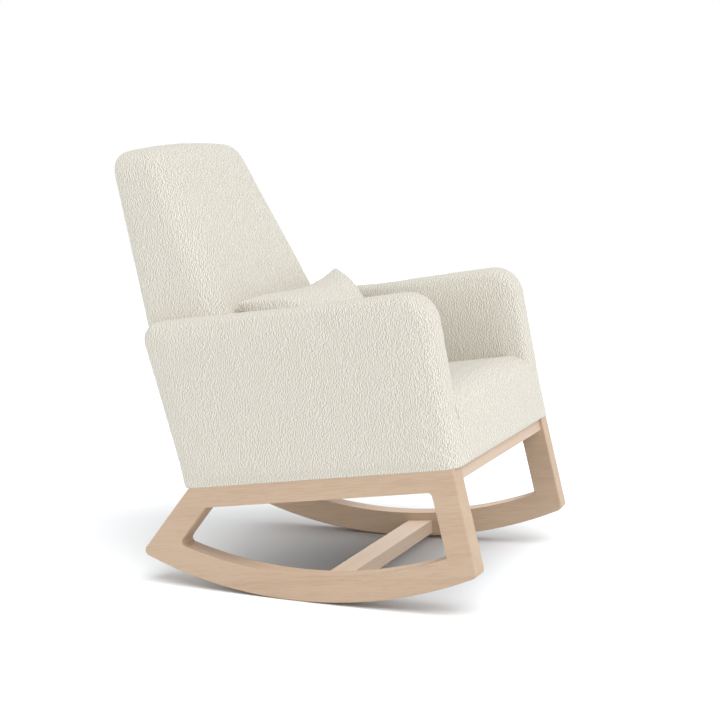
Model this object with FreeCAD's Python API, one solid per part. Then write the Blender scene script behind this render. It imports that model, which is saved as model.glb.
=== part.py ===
import FreeCAD, Part
import math
import os

# Upholstered rocking chair: two runner frames in maple, an upholstered shell and a loose pillow.
# Millimetres. The chair faces -Y, +X is the sitter's left and +Z is up.
# Everything is drawn with the side rails level and the runner arc touching Z = 0 at Y = 0.
# At the end the chair is rolled back on its runners by REST_TILT, which keeps that contact line.

Vector = FreeCAD.Vector

# Overall
BASE_WIDTH = 711.0
TOE_IN = 2.79
REST_TILT = 8.45

# Side frames
FRAME_THICKNESS = 49.0
RUNNER_RADIUS = 970.0
RUNNER_DEPTH = 56.0
RAIL_TOP = 261.0
RAIL_DEPTH = 44.0
LEG_WIDTH = 56.0
FRONT_TOP_Y = -256.0
REAR_TOP_Y = 347.0
FRONT_RAKE_ANGLE = 5.4
REAR_RAKE_ANGLE = 46.0
TIP_RADIUS = 12.0
WINDOW_RADIUS = 9.0
CORNER_STUB = 16.0
EDGE_EASE = 2.0

# Cross members of the base
CROSS_THICKNESS = 28.0
FRONT_RAIL_DEPTH = 30.0
FRONT_RAIL_SETBACK = 5.0
REAR_RAIL_DEPTH = 44.0
REAR_RAIL_SETBACK = 8.0
STRETCHER_WIDTH = 57.0
STRETCHER_THICKNESS = 30.0
STRETCHER_LIFT = 8.0
STRETCHER_Y = 70.0

# Loose tenons and screws
TENON_LENGTH = 44.0
TENON_THICKNESS = 12.0
TENON_WIDTH = 34.0
CROSS_TENON_LENGTH = 34.0
RAIL_TENON_THICKNESS = 10.0
FRONT_RAIL_TENON = 16.0
REAR_RAIL_TENON = 26.0
STRETCHER_TENON = 36.0
TENON_CLEARANCE = 0.1
SCREW_RADIUS = 4.0
SCREW_GRIP = 30.0
SCREW_HEAD_RADIUS = 7.5
SCREW_HEAD_HEIGHT = 5.5
SCREW_CLEARANCE = 0.2
SCREW_RECESS = 1.5
SCREW_STEPS_Y = (-150.0, 230.0)

# Upholstery in general
COVER = 3.0
SOFT_GAP = 0.3
REAR_LEAN = 9.3
REAR_OVERHANG = 8.0
RIM_CUT = 0.75

# Arms
ARM_THICKNESS = 90.0
ARM_TOP = 618.0
ARM_FRONT_LEAN = 3.2
ARM_FRONT_OVERHANG = 8.0
ARM_FRONT_RADIUS = 62.0
ARM_REAR_RADIUS = 38.0
ARM_EDGE_RADIUS = 26.0
ARM_BOARD_INSET = 9.0
ARM_BOARD_THICKNESS = 22.0
ARM_HOLLOW_DEPTH = 70.0
ARM_INNER_BOARD = 5.0
ARM_PAD_FRONT = 20.0
ARM_PAD_TOP = 22.0
ARM_PAD_REAR = 17.0
ARM_FRAME_CLEARANCE = 1.5
ARM_RAIL_DEPTH = 45.0
ARM_FRONT_POST = 70.0
ARM_REAR_POST = 34.0

# Seat
SEAT_TOP = 412.0
SEAT_CROWN = 14.0
SEAT_FRONT_OVERHANG = 13.0
SEAT_FRONT_RADIUS = 52.0
SEAT_RAIL_THICKNESS = 34.0
SEAT_RAIL_DEPTH = 70.0
SEAT_LIP = 26.0
SEAT_REAR_RAIL_Y = 62.0
SEAT_FELT = 4.0
CORNER_BLOCK = 60.0
CORNER_BLOCK_DEPTH = 40.0

# Back
BACK_TOP = 996.0
BACK_TOP_CROWN = 6.0
BACK_SIDE_SET_IN = 75.0
BACK_TAPER = 53.0
BACK_ARM_HALF_WIDTH = BASE_WIDTH / 2 - BACK_SIDE_SET_IN
BACK_TOP_HALF_WIDTH = BACK_ARM_HALF_WIDTH - BACK_TAPER
BACK_CORNER_RADIUS = 62.0
BACK_FRONT_LEAN = 19.7
BACK_FRONT_SEAT_Y = 158.0
BACK_FRONT_EDGE = 44.0
BACK_REAR_EDGE = 26.0
BACK_PAD_FRONT = 28.0
BACK_PAD_REAR = 8.0
BACK_PAD_TOP = 20.0
BACK_PAD_SIDE = 12.0
BACK_PANEL_THICKNESS = 20.0
BACK_PANEL_SET_IN = 51.5
BACK_PANEL_X = BACK_TOP_HALF_WIDTH - BACK_PANEL_SET_IN
BACK_PANEL_RIM = 26.0
BACK_PANEL_HEAD = 215.0
BACK_RAIL_DEPTH = 60.0
BACK_RAIL_THICKNESS = 20.0

# Webbing
STRAP_THICKNESS = 2.0
STRAP_WIDTH = 58.0
SEAT_STRAP_COUNT = 5
SEAT_STRAP_PITCH = 96.0
BACK_STRAP_COUNT = 6
BACK_STRAP_PITCH = 84.0
BACK_STRAP_FIRST = 150.0

# Dust cover
DUST_COVER_THICKNESS = 1.5
DUST_COVER_GAP = 2.0

# Lumbar pillow
PILLOW_WIDTH = BASE_WIDTH / 1.5
PILLOW_HEIGHT = 256.0
PILLOW_FRONT_SWELL = 78.0
PILLOW_REAR_SWELL = 62.0
PILLOW_END_SWELL = 1.5
PILLOW_DRAW_IN = 22.0
PILLOW_END_DRAW_IN = 12.0
PILLOW_BEVEL = 0.6
PILLOW_SEAM = 10.0
PILLOW_COVER = 2.0
PILLOW_TILT = 1.0
PILLOW_SHIFT = 8.0

# Lengths that only have to reach past the chair
FAR = 2000.0


def slope(angle):
    """Sideways run for one unit of height at this angle from the vertical."""
    return math.tan(math.radians(angle))


def meet(first, second):
    """Crossing point of two lines, each given by two (a, b) points."""
    (x1, y1), (x2, y2) = first
    (x3, y3), (x4, y4) = second
    below = (x1 - x2) * (y3 - y4) - (y1 - y2) * (x3 - x4)
    left = x1 * y2 - y1 * x2
    right = x3 * y4 - y3 * x4
    a = (left * (x3 - x4) - (x1 - x2) * right) / below
    b = (left * (y3 - y4) - (y1 - y2) * right) / below
    return (a, b)


def shifted(line, distance):
    """The line moved to its left-hand side by a distance."""
    (x1, y1), (x2, y2) = line
    length = math.hypot(x2 - x1, y2 - y1)
    dx = -(y2 - y1) / length * distance
    dy = (x2 - x1) / length * distance
    return ((x1 + dx, y1 + dy), (x2 + dx, y2 + dy))


def inset(corners, distances):
    """Counter-clockwise (a, b, radius) corners with each edge moved inwards by its own distance."""
    count = len(corners)
    edges = []
    for index in range(count):
        line = (corners[index][:2], corners[(index + 1) % count][:2])
        edges.append(shifted(line, distances[index]))
    moved = []
    for index in range(count):
        a, b = meet(edges[index - 1], edges[index])
        radius = corners[index][2]
        if radius > 0:
            radius = max(radius - max(distances[index - 1], distances[index]), 1.0)
        moved.append((a, b, radius))
    return moved


def rounded(corners, place):
    """Closed wire through (a, b, radius) corners; place turns (a, b) into a point in space."""
    count = len(corners)
    rounds = []
    for index in range(count):
        a, b, radius = corners[index]
        here = Vector(a, b, 0)
        back = Vector(corners[index - 1][0], corners[index - 1][1], 0).sub(here).normalize()
        ahead_corner = corners[(index + 1) % count]
        ahead = Vector(ahead_corner[0], ahead_corner[1], 0).sub(here).normalize()
        half = back.getAngle(ahead) / 2
        reach = radius / math.tan(half)
        start = here + back * reach
        end = here + ahead * reach
        middle = here
        if radius > 0:
            middle = here + (back + ahead).normalize() * (radius / math.sin(half) - radius)
        rounds.append((start, middle, end, radius))
    edges = []
    for index in range(count):
        start, middle, end, radius = rounds[index]
        if radius > 0:
            points = [place(p.x, p.y) for p in (start, middle, end)]
            edges.append(Part.Arc(*points).toShape())
        following = rounds[(index + 1) % count][0]
        if (following - end).Length > 1e-6:
            edges.append(Part.makeLine(place(end.x, end.y), place(following.x, following.y)))
    return Part.Wire(edges)


def slab(corners, low_x, high_x):
    """Solid of a side-view outline of (y, z, radius) corners between two X planes."""
    wire = rounded(corners, lambda y, z: Vector(low_x, y, z))
    return Part.Face(wire).extrude(Vector(high_x - low_x, 0, 0))


def sharp(points):
    """Corners of radius zero."""
    return [(a, b, 0.0) for a, b in points]


def box(low, high):
    """Box between two corners."""
    size = Vector(*high) - Vector(*low)
    return Part.makeBox(size.x, size.y, size.z, Vector(*low))


def rod(radius, start, end):
    """Round rod between two points."""
    along = end - start
    return Part.makeCylinder(radius, along.Length, start, along)


def mirrored(shape):
    """Copy on the other side of the chair."""
    return shape.mirror(Vector(0, 0, 0), Vector(1, 0, 0))


def toed(shape):
    """A piece drawn on the -X side square to the chair, turned to the side frame's toe-in."""
    turned = shape.copy()
    turned.rotate(Vector(-BASE_WIDTH / 2, FRONT_TOP_Y, 0), Vector(0, 0, 1), -TOE_IN)
    return turned


def side_x(depth):
    """X of a plane at this depth inside the outer face, on the square -X side frame."""
    return -BASE_WIDTH / 2 + depth


def side_slab(corners, shallow, deep):
    """Toed-in slab of the -X side between two depths from the side frame's outer face."""
    return toed(slab(corners, side_x(shallow), side_x(deep)))


def half_width(y, depth):
    """Half width of the chair at this Y between planes this deep inside the outer faces."""
    turn = math.radians(TOE_IN)
    return BASE_WIDTH / 2 - (y - FRONT_TOP_Y) * math.tan(turn) - depth / math.cos(turn)


def outside_sides(depth):
    """Two blocks that fill all space outside the planes at this depth in the side frames."""
    block = toed(box((side_x(-FAR), -FAR, -FAR), (side_x(depth), FAR, FAR)))
    return [block, mirrored(block)]


def between_sides(shape, depth):
    """The shape with both ends trimmed to the planes at this depth in the side frames."""
    for block in outside_sides(depth):
        shape = shape.cut(block)
    return shape


def rolled(shape):
    """The shape rolled back on the runners to the rest position."""
    turned = shape.copy()
    turned.rotate(Vector(0, 0, RUNNER_RADIUS), Vector(1, 0, 0), -REST_TILT)
    return turned


def save(name, shapes):
    """Write one node; several shapes become a group of separate solids."""
    solids = []
    for shape in shapes:
        solids.extend(rolled(shape).Solids)
    group = solids[0] if len(solids) == 1 else Part.makeCompound(solids)
    group.exportStep("parts/" + name + ".step")


def save_pair(name, shape):
    """Write a -X piece and its mirror image as the right and left node."""
    save("right_" + name, [shape])
    save("left_" + name, [mirrored(shape)])


def eased(shape, wanted):
    """The shape with every edge whose middle passes the test bevelled by EDGE_EASE."""
    return shape.makeChamfer(EDGE_EASE, edges_where(shape, wanted))


def edges_where(shape, wanted):
    """Edges of a shape whose middle point passes a test."""
    picked = []
    for edge in shape.Edges:
        if wanted(edge.valueAt((edge.FirstParameter + edge.LastParameter) / 2)):
            picked.append(edge)
    return picked


def padded_rim(shape, wanted, radius, depth):
    """Round the rim of a padded body; inner bodies, set in by a depth, get a straight cut instead."""
    edges = edges_where(shape, wanted)
    if depth <= 0:
        return shape.makeFillet(radius, edges)
    return shape.makeChamfer(RIM_CUT * (radius - depth), edges)


def arc_y_z(radius, y):
    """Z of a runner arc of this radius at Y."""
    return RUNNER_RADIUS - math.sqrt(radius ** 2 - y ** 2)


def line_on_arc(line, radius):
    """Point where a leg line meets a runner arc, found by closing in on the height."""
    (y1, z1), (y2, z2) = line
    y, z = y1, z1
    for _ in range(60):
        z = arc_y_z(radius, y)
        y = y1 + (z - z1) * (y2 - y1) / (z2 - z1)
    return (y, z)


# Outline of the side frame
TOP_RADIUS = RUNNER_RADIUS - RUNNER_DEPTH
RAIL_BOTTOM = RAIL_TOP - RAIL_DEPTH
FRONT_EDGE = ((FRONT_TOP_Y, RAIL_TOP), (FRONT_TOP_Y - RAIL_TOP * slope(FRONT_RAKE_ANGLE), 0.0))
REAR_EDGE = ((REAR_TOP_Y + RAIL_TOP * slope(REAR_RAKE_ANGLE), 0.0), (REAR_TOP_Y, RAIL_TOP))
FRONT_INNER = shifted(FRONT_EDGE, LEG_WIDTH)
REAR_INNER = shifted(REAR_EDGE, LEG_WIDTH)
RAIL_UNDERSIDE = ((0.0, RAIL_BOTTOM), (1.0, RAIL_BOTTOM))


def side_frame_points():
    """Corner points shared by the rail, the legs and the runner of a side frame."""
    points = {}
    points["rail_front_low"] = meet(FRONT_EDGE, RAIL_UNDERSIDE)
    points["window_front_top"] = meet(FRONT_INNER, RAIL_UNDERSIDE)
    points["front_head_front"] = along_line(points["rail_front_low"], FRONT_EDGE, CORNER_STUB)
    points["front_head_rear"] = along_line(points["window_front_top"], FRONT_EDGE, CORNER_STUB)
    points["window_rear_top"] = meet(REAR_INNER, RAIL_UNDERSIDE)
    points["rail_rear_low"] = meet(REAR_EDGE, RAIL_UNDERSIDE)
    points["front_foot_front"] = line_on_arc(FRONT_EDGE, TOP_RADIUS)
    points["front_foot_rear"] = line_on_arc(FRONT_INNER, TOP_RADIUS)
    points["rear_foot_front"] = line_on_arc(REAR_INNER, TOP_RADIUS)
    points["rear_foot_rear"] = line_on_arc(REAR_EDGE, TOP_RADIUS)
    points["rear_seat_front"] = along_line(points["rear_foot_front"], REAR_EDGE, CORNER_STUB)
    points["rear_seat_rear"] = along_line(points["rear_foot_rear"], REAR_EDGE, CORNER_STUB)
    return points


def along_line(point, line, distance):
    """Point moved in the direction of a line by a distance."""
    (y1, z1), (y2, z2) = line
    length = math.hypot(y2 - y1, z2 - z1)
    return (point[0] + (y2 - y1) / length * distance, point[1] + (z2 - z1) / length * distance)


def middle_of(first, second):
    """Point halfway between two (y, z) points."""
    return ((first[0] + second[0]) / 2, (first[1] + second[1]) / 2)


def make_runner(points):
    """Runner of the -X side with eased lower edges and rounded tips."""
    front_tip = line_on_arc(FRONT_EDGE, RUNNER_RADIUS)
    rear_tip = line_on_arc(REAR_EDGE, RUNNER_RADIUS)
    bottom_y = (front_tip[0] + rear_tip[0]) / 2
    top_y = (points["front_foot_rear"][0] + points["rear_foot_front"][0]) / 2

    def at(pair):
        return Vector(side_x(0), pair[0], pair[1])

    bottom = Part.Arc(at(front_tip), at((bottom_y, arc_y_z(RUNNER_RADIUS, bottom_y))), at(rear_tip))
    top_middle = (top_y, arc_y_z(TOP_RADIUS, top_y))
    top = Part.Arc(at(points["rear_foot_front"]), at(top_middle), at(points["front_foot_rear"]))
    edges = [
        bottom.toShape(),
        Part.makeLine(at(rear_tip), at(points["rear_seat_rear"])),
        Part.makeLine(at(points["rear_seat_rear"]), at(points["rear_seat_front"])),
        Part.makeLine(at(points["rear_seat_front"]), at(points["rear_foot_front"])),
        top.toShape(),
        Part.makeLine(at(points["front_foot_rear"]), at(points["front_foot_front"])),
        Part.makeLine(at(points["front_foot_front"]), at(front_tip)),
    ]
    solid = Part.Face(Part.Wire(edges)).extrude(Vector(FRAME_THICKNESS, 0, 0))
    window = [edge for edge in solid.Edges if near(yz(edge), points["rear_foot_front"])]
    solid = solid.makeFillet(WINDOW_RADIUS, window)
    tips = [edge for edge in solid.Edges if near(yz(edge), front_tip) or near(yz(edge), rear_tip)]
    solid = solid.makeFillet(TIP_RADIUS, tips)

    def lower_outline(point):
        radius = math.hypot(point.y, point.z - RUNNER_RADIUS)
        return on_frame_face(point) and radius > TOP_RADIUS + EDGE_EASE

    return eased(solid, lower_outline)


def near(first, second):
    """True when two (y, z) points are the same."""
    return math.hypot(first[0] - second[0], first[1] - second[1]) < 0.01


def yz(edge):
    """Side-view middle of an edge."""
    return (edge.CenterOfMass.y, edge.CenterOfMass.z)


def make_side_frame():
    """Rail, legs, runner and loose tenons of the -X side, square to the chair."""
    p = side_frame_points()
    shallow, deep = side_x(0), side_x(FRAME_THICKNESS)
    rail_corners = sharp([
        p["front_head_front"],
        p["front_head_rear"],
        p["window_front_top"],
        p["rail_rear_low"],
        (REAR_TOP_Y, RAIL_TOP),
        (FRONT_TOP_Y, RAIL_TOP),
    ])
    rail_corners[2] = p["window_front_top"] + (WINDOW_RADIUS,)
    rail = slab(rail_corners, shallow, deep)
    front_leg = slab(sharp([
        p["front_foot_front"],
        p["front_foot_rear"],
        p["front_head_rear"],
        p["front_head_front"],
    ]), shallow, deep)
    rear_leg = slab(sharp([
        p["rear_seat_front"],
        p["rear_seat_rear"],
        p["rail_rear_low"],
        p["window_rear_top"],
    ]), shallow, deep)
    runner = make_runner(p)
    joints = [
        ("front_leg", "rail", middle_of(p["front_head_front"], p["front_head_rear"]), FRONT_EDGE),
        ("rear_leg", "rail", middle_of(p["rail_rear_low"], p["window_rear_top"]), REAR_EDGE),
        ("front_leg", "runner", middle_of(p["front_foot_front"], p["front_foot_rear"]), FRONT_EDGE),
        ("rear_leg", "runner", middle_of(p["rear_seat_front"], p["rear_seat_rear"]), REAR_EDGE),
    ]
    pieces = {
        "rail": eased(rail, lambda point: on_lines(point, (FRONT_EDGE, REAR_EDGE))),
        "front_leg": eased(front_leg, lambda point: on_lines(point, (FRONT_EDGE, FRONT_INNER))),
        "rear_leg": eased(rear_leg, lambda point: on_lines(point, (REAR_EDGE, REAR_INNER))),
        "runner": runner,
    }
    tenons = []
    for leg, other, (y, z), edge in joints:
        along = Vector(edge[1][0] - edge[0][0], edge[1][1] - edge[0][1], 0).normalize()
        across = Vector(-along.y, along.x, 0)
        middle = side_x(FRAME_THICKNESS / 2)
        for growth in (0.0, TENON_CLEARANCE):
            reach = along * (TENON_LENGTH / 2 + growth)
            spread = across * (TENON_WIDTH / 2 + growth)
            corners = []
            for step in (reach.negative() - spread, reach - spread, reach + spread, spread - reach):
                corners.append((y + step.x, z + step.y))
            half = TENON_THICKNESS / 2 + growth
            block = slab(sharp(corners), middle - half, middle + half)
            if growth > 0:
                pieces[leg] = pieces[leg].cut(block)
                pieces[other] = pieces[other].cut(block)
            else:
                tenons.append(block)
    return pieces, tenons


def on_frame_face(point):
    """True on the outer or inner face of the square -X side frame."""
    return min(abs(point.x - side_x(0)), abs(point.x - side_x(FRAME_THICKNESS))) < 0.01


def on_lines(point, lines):
    """True on a face of the side frame along one of these side-view lines."""
    if not on_frame_face(point):
        return False
    for (y1, z1), (y2, z2) in lines:
        expected = y1 + (point.z - z1) * (y2 - y1) / (z2 - z1)
        if abs(expected - point.y) < 0.05:
            return True
    return False


def build_base():
    """Everything in the wooden base: side frames, cross members and the fasteners that join them."""
    pieces, tenons = make_side_frame()
    pieces = {name: toed(shape) for name, shape in pieces.items()}
    tenons = [toed(tenon) for tenon in tenons]

    def raked(front_y, rake, depth):
        low = RAIL_TOP - depth
        run = depth * slope(rake)
        points = [
            (front_y - run, low),
            (front_y - run + CROSS_THICKNESS, low),
            (front_y + CROSS_THICKNESS, RAIL_TOP),
            (front_y, RAIL_TOP),
        ]
        return between_sides(slab(sharp(points), -BASE_WIDTH, BASE_WIDTH), FRAME_THICKNESS)

    front_y = FRONT_TOP_Y + FRONT_RAIL_SETBACK
    front_rail = raked(front_y, FRONT_RAKE_ANGLE, FRONT_RAIL_DEPTH)
    rear_y_base = REAR_TOP_Y - REAR_RAIL_SETBACK - CROSS_THICKNESS
    rear_rail = raked(rear_y_base, 0.0, REAR_RAIL_DEPTH)

    angle = math.asin(STRETCHER_Y / RUNNER_RADIUS)
    bar = box(
        (-BASE_WIDTH, -STRETCHER_WIDTH / 2, STRETCHER_LIFT),
        (BASE_WIDTH, STRETCHER_WIDTH / 2, STRETCHER_LIFT + STRETCHER_THICKNESS),
    )
    bar.rotate(Vector(0, 0, RUNNER_RADIUS), Vector(1, 0, 0), math.degrees(angle))
    stretcher = between_sides(bar, FRAME_THICKNESS)

    cross_tenons = []

    def tenon_into(cross, side_name, y, z, size_y, size_z, turn):
        x = -half_width(y, FRAME_THICKNESS)
        for growth in (0.0, TENON_CLEARANCE):
            reach = Vector(CROSS_TENON_LENGTH / 2 + growth, size_y / 2 + growth, size_z / 2 + growth)
            centre = Vector(x, y, z)
            block = box(tuple(centre - reach), tuple(centre + reach))
            block.rotate(centre, Vector(1, 0, 0), turn)
            if growth > 0:
                pieces[side_name] = pieces[side_name].cut(block)
                cross = cross.cut(block).cut(mirrored(block))
            else:
                cross_tenons.append(block)
                cross_tenons.append(mirrored(block))
        return cross

    thin = RAIL_TENON_THICKNESS
    y = front_y + CROSS_THICKNESS / 2 - FRONT_RAIL_DEPTH / 2 * slope(FRONT_RAKE_ANGLE)
    z = RAIL_TOP - FRONT_RAIL_DEPTH / 2
    front_rail = tenon_into(front_rail, "rail", y, z, thin, FRONT_RAIL_TENON, 0.0)
    y = rear_y_base + CROSS_THICKNESS / 2
    z = RAIL_TOP - REAR_RAIL_DEPTH / 2
    rear_rail = tenon_into(rear_rail, "rail", y, z, thin, REAR_RAIL_TENON, 0.0)
    reach = RUNNER_RADIUS - STRETCHER_LIFT - STRETCHER_THICKNESS / 2
    y = reach * math.sin(angle)
    z = RUNNER_RADIUS - reach * math.cos(angle)
    stretcher = tenon_into(stretcher, "runner", y, z, STRETCHER_TENON, thin, math.degrees(angle))

    screws, bores = [], []
    screw_x = side_x(ARM_BOARD_INSET + ARM_BOARD_THICKNESS / 2)
    for y in SCREW_STEPS_Y:
        foot = Vector(screw_x, y, RAIL_BOTTOM + SCREW_HEAD_HEIGHT + SCREW_RECESS)
        tip = Vector(screw_x, y, RAIL_TOP + SCREW_GRIP)
        mouth = Vector(screw_x, y, RAIL_BOTTOM)
        recess = toed(rod(SCREW_HEAD_RADIUS + SCREW_RECESS, mouth, foot))
        head = Part.Face(Part.makePolygon(hexagon(foot, SCREW_HEAD_RADIUS)))
        head = head.extrude(Vector(0, 0, -SCREW_HEAD_HEIGHT))
        screws.append(toed(head.fuse(rod(SCREW_RADIUS, foot, tip)).removeSplitter()))
        bore_tip = tip + Vector(0, 0, SCREW_CLEARANCE)
        bores.append(toed(rod(SCREW_RADIUS + SCREW_CLEARANCE, foot, bore_tip)))
        pieces["rail"] = pieces["rail"].cut(bores[-1]).cut(recess)

    save_pair("side_rail", pieces["rail"])
    save_pair("front_leg", pieces["front_leg"])
    save_pair("rear_leg", pieces["rear_leg"])
    save_pair("runner", pieces["runner"])
    save("front_rail", [front_rail])
    save("rear_rail", [rear_rail])
    save("stretcher", [stretcher])
    save("leg_tenons", tenons + [mirrored(tenon) for tenon in tenons])
    save("cross_tenons", cross_tenons)
    save("base_screws", screws + [mirrored(screw) for screw in screws])
    return bores


def hexagon(centre, radius):
    """Closed list of the corners of a level hexagon."""
    corners = []
    for index in range(7):
        turn = math.radians(60 * index)
        corners.append(centre + Vector(radius * math.cos(turn), radius * math.sin(turn), 0))
    return corners


# Planes of the upholstered shell, in side view
REAR_LOW_Y = REAR_TOP_Y + REAR_OVERHANG


def rear_y(z):
    """Y of the outside back plane at this height."""
    return REAR_LOW_Y + (z - RAIL_TOP) * slope(REAR_LEAN)


def back_front_y(z):
    """Y of the inside back plane at this height."""
    return BACK_FRONT_SEAT_Y + (z - SEAT_TOP) * slope(BACK_FRONT_LEAN)


def arm_corners():
    """Side-view outline of an arm, counter-clockwise from the front foot."""
    front = FRONT_TOP_Y - ARM_FRONT_OVERHANG
    front_top = front + (ARM_TOP - RAIL_TOP) * slope(ARM_FRONT_LEAN)
    return [
        (front, RAIL_TOP, 0.0),
        (REAR_LOW_Y, RAIL_TOP, 0.0),
        (rear_y(ARM_TOP), ARM_TOP, ARM_REAR_RADIUS),
        (front_top, ARM_TOP, ARM_FRONT_RADIUS),
    ]


def arm_form(depth, floor_drop):
    """Padded arm of the -X side, all faces moved in by a depth, and its foot lowered by a drop."""
    corners = inset(arm_corners(), [-floor_drop, depth, depth, depth])
    low_x = side_x(depth)
    high_x = side_x(ARM_THICKNESS - depth)
    solid = slab(corners, low_x, high_x)

    def on_rim(point):
        on_side = min(abs(point.x - low_x), abs(point.x - high_x)) < 0.01
        return on_side and point.z > RAIL_TOP - floor_drop + 0.01

    return padded_rim(solid, on_rim, ARM_EDGE_RADIUS, depth)


def arm_frame_outline():
    """Side-view outline of the wooden arm frame."""
    return inset(sharp([c[:2] for c in arm_corners()]), [0.0, ARM_PAD_REAR, ARM_PAD_TOP, ARM_PAD_FRONT])


def strip(first, second, low_z, high_z):
    """Four corners between two sloping lines, from one height to another."""
    def on(line, z):
        (y1, z1), (y2, z2) = line
        return y1 + (z - z1) * (y2 - y1) / (z2 - z1)

    return sharp([
        (on(first, low_z), low_z),
        (on(second, low_z), low_z),
        (on(second, high_z), high_z),
        (on(first, high_z), high_z),
    ])


def frame_corner_cut(radius, side_pad):
    """Straight cut that keeps a corner of the arm frame inside the cover's rounded rim."""
    rim = COVER + RIM_CUT * (ARM_EDGE_RADIUS - COVER)
    free = radius - rim + ARM_BOARD_INSET - COVER - ARM_FRAME_CLEARANCE
    across = radius - side_pad
    up = radius - ARM_PAD_TOP
    side_cut = up - math.sqrt(max(free ** 2 - across ** 2, 0.0))
    top_cut = across - math.sqrt(max(free ** 2 - up ** 2, 0.0))
    return max(side_cut, top_cut, 1.0)


def clipped(corners):
    """Four corners of an arm frame outline with both upper corners cut straight."""
    low_front, low_rear, high_rear, high_front = [Vector(c[0], c[1], 0) for c in corners]
    rear_cut = frame_corner_cut(ARM_REAR_RADIUS, ARM_PAD_REAR)
    front_cut = frame_corner_cut(ARM_FRONT_RADIUS, ARM_PAD_FRONT)
    forward = (high_front - high_rear).normalize()
    points = [
        low_front,
        low_rear,
        high_rear + (low_rear - high_rear).normalize() * rear_cut,
        high_rear + forward * rear_cut,
        high_front - forward * front_cut,
        high_front + (low_front - high_front).normalize() * front_cut,
    ]
    return sharp([(point.x, point.y) for point in points])


def build_arms(bores):
    """Arm frames, boards, foam and covers."""
    outline = [corner[:2] for corner in arm_frame_outline()]
    front = (outline[0], outline[3])
    rear = (outline[1], outline[2])
    low = RAIL_TOP
    bottom_rail_top = low + ARM_RAIL_DEPTH
    top = outline[2][1]
    top_rail_bottom = top - ARM_RAIL_DEPTH
    shallow = ARM_BOARD_INSET
    deep = shallow + ARM_BOARD_THICKNESS
    front_inner = shifted(front, -ARM_FRONT_POST)
    rear_inner = shifted(rear, ARM_REAR_POST)

    bottom_rail = side_slab(strip(front, rear, low, bottom_rail_top), shallow, deep)
    for bore in bores:
        bottom_rail = bottom_rail.cut(bore)
    top_rail = side_slab(clipped(strip(front, rear, top_rail_bottom, top)), shallow, deep)
    front_post = side_slab(strip(front, front_inner, bottom_rail_top, top_rail_bottom), shallow, deep)
    rear_post = side_slab(strip(rear_inner, rear, bottom_rail_top, top_rail_bottom), shallow, deep)

    board_low = RAIL_TOP + SEAT_RAIL_DEPTH + 2 * STRAP_THICKNESS
    board_depth = ARM_HOLLOW_DEPTH - ARM_INNER_BOARD
    inner_board = side_slab(clipped(strip(front, rear, board_low, top)), board_depth, ARM_HOLLOW_DEPTH)
    hollow = side_slab(clipped(strip(front, rear, low, top)), shallow, ARM_HOLLOW_DEPTH)
    undercut = toed(box(
        (side_x(deep + SOFT_GAP), seat_rail_front_y() - SOFT_GAP, RAIL_TOP - FAR),
        (side_x(ARM_THICKNESS + COVER), FAR, board_low),
    ))
    cover = toed(arm_form(0.0, 0.0).cut(arm_form(COVER, COVER))).cut(undercut)
    foam = toed(arm_form(COVER + SOFT_GAP, 0.0)).cut(hollow).cut(undercut)

    save_pair("arm_bottom_rail", bottom_rail)
    save_pair("arm_top_rail", top_rail)
    save_pair("arm_front_post", front_post)
    save_pair("arm_rear_post", rear_post)
    save_pair("arm_inner_board", inner_board)
    save_pair("arm_foam", largest(foam))
    save_pair("arm_cover", largest(cover))


def largest(shape):
    """The largest solid of a cut shape."""
    return max(shape.Solids, key=lambda solid: solid.Volume)


def back_side_corners():
    """Side-view outline of the back, counter-clockwise from the foot of its inside face."""
    return sharp([
        (back_front_y(RAIL_TOP), RAIL_TOP),
        (rear_y(RAIL_TOP), RAIL_TOP),
        (rear_y(BACK_TOP), BACK_TOP),
        (back_front_y(BACK_TOP), BACK_TOP),
    ])


def back_front_corners():
    """Front-view outline of the back, tapering upwards, with rounded shoulders and a crowned top."""
    shoulder_z = BACK_TOP - BACK_TOP_CROWN
    taper = (BACK_ARM_HALF_WIDTH - BACK_TOP_HALF_WIDTH) / (shoulder_z - ARM_TOP)
    foot = BACK_ARM_HALF_WIDTH + (ARM_TOP - RAIL_TOP) * taper
    high = BACK_TOP_HALF_WIDTH
    crown_radius = high ** 2 / (4 * BACK_TOP_CROWN)
    return [
        (-foot, RAIL_TOP, 0.0),
        (foot, RAIL_TOP, 0.0),
        (high, shoulder_z, BACK_CORNER_RADIUS),
        (0.0, BACK_TOP + BACK_TOP_CROWN, crown_radius),
        (-high, shoulder_z, BACK_CORNER_RADIUS),
    ]


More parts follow.
